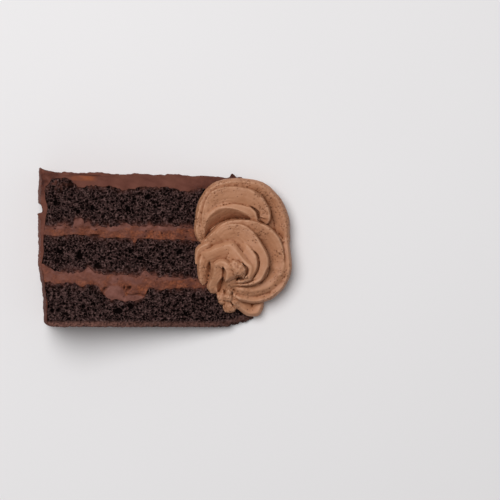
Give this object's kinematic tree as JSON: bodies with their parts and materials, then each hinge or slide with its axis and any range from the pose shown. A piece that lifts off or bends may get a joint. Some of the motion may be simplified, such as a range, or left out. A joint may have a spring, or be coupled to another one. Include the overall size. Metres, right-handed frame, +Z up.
{
  "type": "slice of chocolate cake",
  "caption": "Narrow wedge of layered chocolate cake lying on a cut face, frosted on top and rim, with a large piped buttercream swirl over its tip.",
  "frame": {"origin": "on the table under the middle of the slice's bounding box", "axes": "+X along the slice from its frosted rim to its tip, +Y from the cake's base to its frosted top, +Z up from the cut face it lies on"},
  "size_m": [0.1222, 0.0738, 0.0316],
  "materials": {
    "crumb": "moist dark chocolate crumb, matt, full of small pores",
    "filling": "soft chocolate cream, satin, slightly grainy",
    "frosting": "smooth chocolate frosting, satin",
    "buttercream": "milk chocolate buttercream, satin, with fine air pits"
  },
  "bodies": {
    "root": {"cake_bottom": "crumb", "cake_middle": "crumb", "cake_top": "crumb", "filling_lower": "filling", "filling_upper": "filling", "frosting": "frosting", "buttercream_swirl": "buttercream"}
  },
  "joints": []
}
